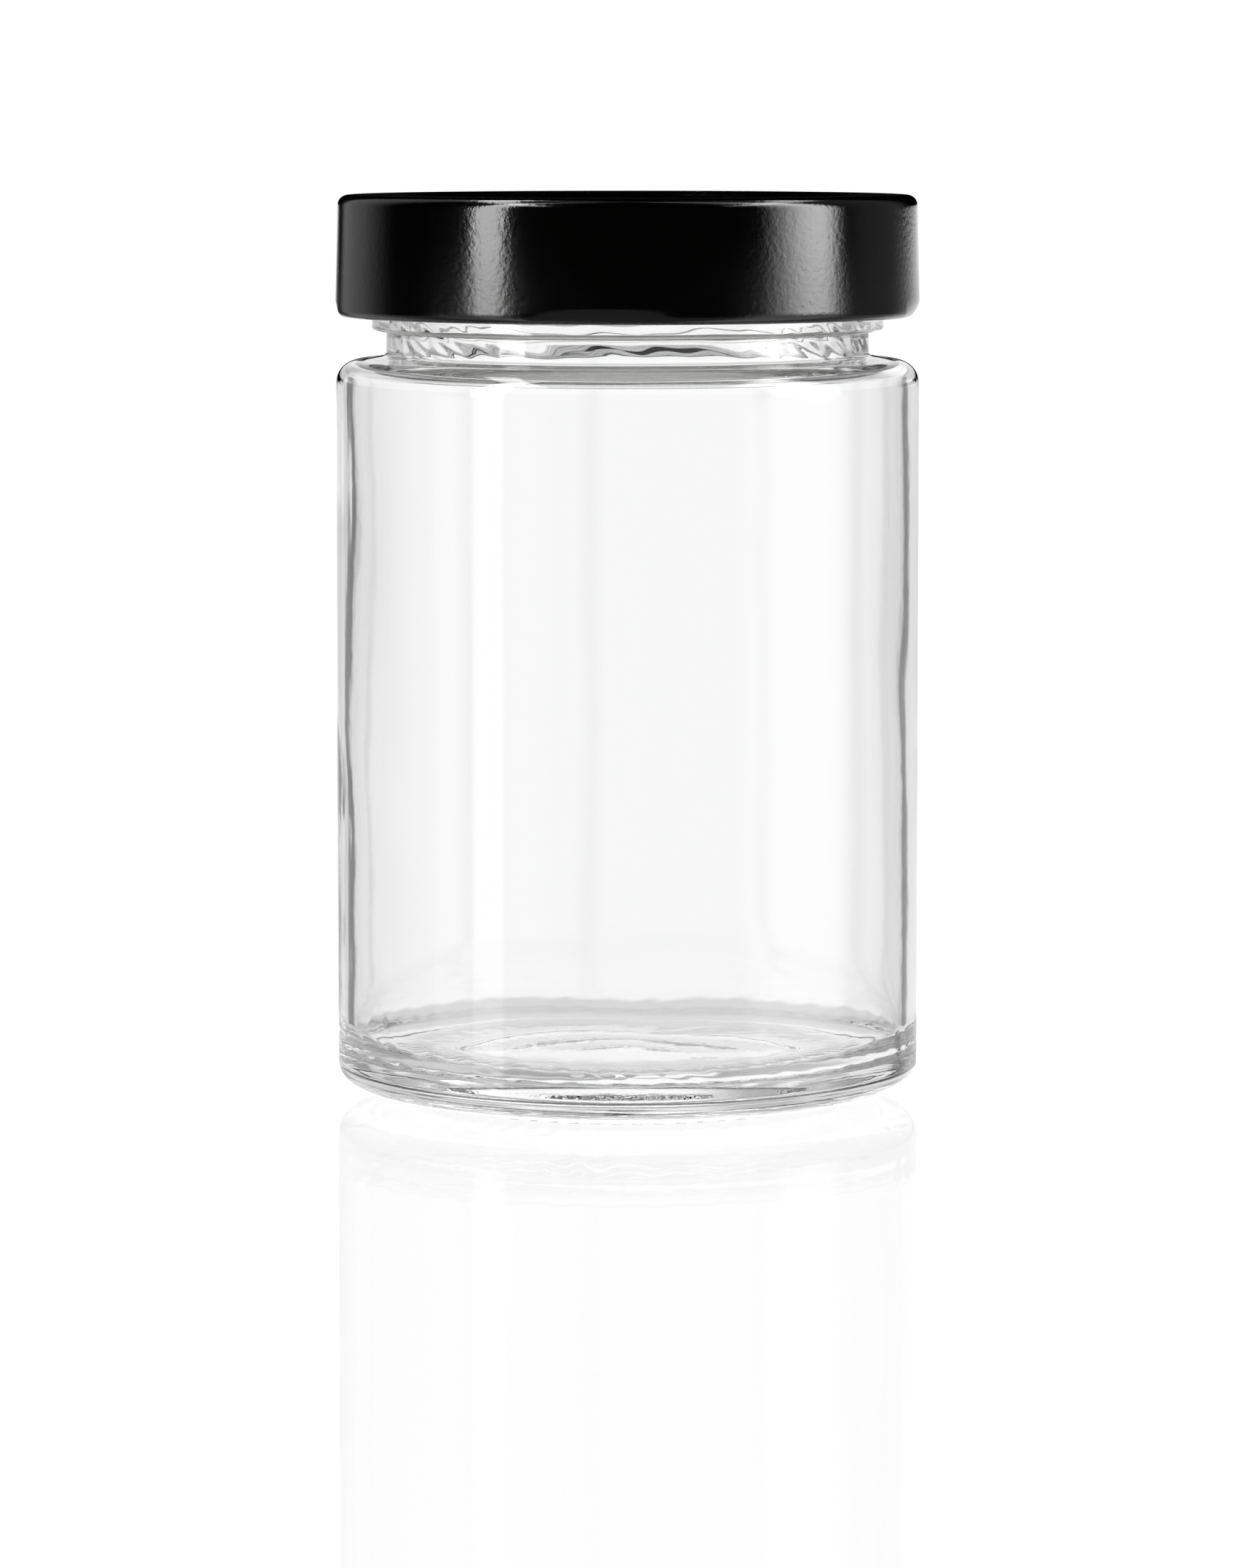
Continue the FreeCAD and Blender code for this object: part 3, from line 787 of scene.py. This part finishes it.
def mirror_light(sheet, ray, lights, backdrop):
    ground = sheet.ramp(ray.lift, -22.0, -11.0, 1.0, 0.0) * (0.25 + ray.sharp * 0.6)
    far_table = sheet.ramp(ray.lift, -12.0, -4.0, 1.0, 0.0) * sheet.ramp(ray.y, 0.1, 0.6) * ray.sharp * 0.6
    right_dim = 1 - sheet.band(ray.side, 10, 42, 4) * ray.sharp * ray.level * 0.45
    mirrored = lights * right_dim + ground + far_table + 0.001
    mirrored = mirrored + ray.flanks * (1 - backdrop) * ray.sharp * ray.level * 0.6
    open_sky = sheet.ramp(ray.lift, 3.0, 4.5) * sheet.ramp(ray.lift, 30.0, 50.0, 1.0, 0.0) * ray.sharp
    return mirrored + open_sky * (1 - backdrop) * OPEN_SKY


print("open sky mirrors at", OPEN_SKY)


# %% What is seen through the glass
DARK_CARDS, CARD_HALF, CARD_SOFT = (-119, -61, -29, 29, 106, 164), 4, 3
CLEAR_SIDES, CLEAR_HALF, CLEAR_SOFT = (-90, -45, 0, 135), 9, 6


def glass_light(sheet, ray, lights):
    cards = 0.0
    for middle in DARK_CARDS:
        cards = cards + sheet.band(ray.side, middle - CARD_HALF, middle + CARD_HALF, CARD_SOFT)
    clear = 0.0
    for middle in CLEAR_SIDES:
        clear = clear + sheet.band(ray.side, middle - CLEAR_HALF, middle + CLEAR_HALF, CLEAR_SOFT)
    # Seen through the glass, the surroundings dim for rays going up, a dim overhead, and for rays going
    # steeply down. The downward part is painted shadow: the table under the jar is darkened as though the
    # jar shaded it.
    ceiling_and_painted_shadow = sheet.ramp(ray.lift, 12.0, 40.0, 0.0, 0.2) + sheet.ramp(ray.lift, -45.0, -32.0, 0.4, 0.0)
    ceiling_and_painted_shadow = ceiling_and_painted_shadow + sheet.band(ray.lift, -38, -23, 3) * 0.25
    seen = 1.03 * (1 - cards * 0.75) * (1 - ceiling_and_painted_shadow) * (0.88 + clear * 0.12)
    beyond = 1 - sheet.band(ray.side, -36, 36, 2)
    edge = ray.flanks * 0.65 + beyond * 0.4 + 0.08
    in_wall = ray.level * edge + (1 - ray.level) * (lights * 0.55 + 0.42)
    crossed = sheet.ramp(ray.deep, 2.4, 2.6)
    return crossed * seen + (1 - crossed) * in_wall


print("dark cards at", DARK_CARDS, "degrees")


# %% The surroundings
MATT_GAIN = 1.9


def studio():
    world = bpy.data.worlds.new("studio")
    bpy.context.scene.world = world
    sheet = Sheet(world)
    ray = trace_rays(sheet)
    lights, backdrop = place_lights(sheet, ray)
    glass_rays = ray.through * glass_light(sheet, ray, lights)
    mirror_rays = (1 - ray.through) * ray.glossy * mirror_light(sheet, ray, lights, backdrop)
    open_rays = (1 - ray.through) * (1 - ray.glossy) * (ray.camera + (1 - ray.camera) * 1.05)
    matt = sheet.ramp(ray.bounced, 0.4, 0.6, 1.0, MATT_GAIN)
    strength = (glass_rays + mirror_rays + open_rays) * matt
    light = sheet.node("ShaderNodeBackground", inputs={"Color": (1.0, 1.0, 1.0, 1.0), "Strength": strength})
    sheet.node("ShaderNodeOutputWorld", inputs={"Surface": light})
    world.cycles.sampling_method = "NONE"
    return world


print("surroundings:", studio().name)

# %% [markdown]
# ## The table
#
# A clear sheet with a faint sharp mirror doubles the jar below itself.  Only the camera sees it, because
# the ground that the glass and the lid mirror is part of the surroundings.  It fades out before its edge
# can draw a line across the background.

# %% The table
# In metres, as Blender measures.
TABLE_R, TABLE_DROP = 0.6, 0.00005
FADE_FROM, FADE_TO, MIRROR_SHARE = 0.16, 0.5, 0.13


def table():
    centre = (0, 0, -TABLE_DROP)
    bpy.ops.mesh.primitive_circle_add(vertices=96, radius=TABLE_R, fill_type="NGON", location=centre)
    top = bpy.context.object
    top.name = "table"
    material, sheet, place = new_material("pale_acrylic")
    away = sheet.node("ShaderNodeVectorMath", {"operation": "LENGTH"}, {0: place}, output=1)
    gloss = sheet.node(
        "ShaderNodeBsdfPrincipled",
        inputs={"Base Color": (0.93, 0.93, 0.93, 1.0), "Metallic": 1.0, "Roughness": 0.0},
    )
    clear = sheet.node("ShaderNodeBsdfTransparent")
    fade = sheet.ramp(away, FADE_FROM, FADE_TO, MIRROR_SHARE, 0.0)
    sheet.surface(sheet.node("ShaderNodeMixShader", inputs={0: fade, 1: clear, 2: gloss}))
    top.data.materials.append(material)
    for ray in ("transmission", "glossy", "diffuse", "shadow"):
        setattr(top, "visible_" + ray, False)
    return top


print("table:", table().name)

# %% [markdown]
# ## The camera
#
# A long lens a little higher than the lid, tipped down a few degrees.  The lens is long so that the jar's
# sides stay nearly upright, and the shift is only as large as the framing needs.

# %% The camera
CAMERA_AWAY, CAMERA_UP, PITCH = 826.0, 125.5, 4.6
LENS, SENSOR, SHIFT = 151.5, 36.0, -0.0998


def camera():
    data = bpy.data.cameras.new("camera")
    data.lens = LENS
    data.sensor_width = SENSOR
    data.shift_y = SHIFT
    made = bpy.data.objects.new("camera", data)
    made.location = Vector((0, -CAMERA_AWAY, CAMERA_UP)) * MM
    made.rotation_euler = (math.radians(90 - PITCH), 0, 0)
    bpy.context.scene.collection.objects.link(made)
    bpy.context.scene.camera = made
    return made


camera()
scene = bpy.context.scene
scene.view_settings.view_transform = "Standard"
scene.cycles.max_bounces = 24
scene.cycles.glossy_bounces = 16
scene.cycles.transmission_bounces = 20
scene.cycles.use_denoising = True
print("camera at", [round(v, 3) for v in scene.camera.location])
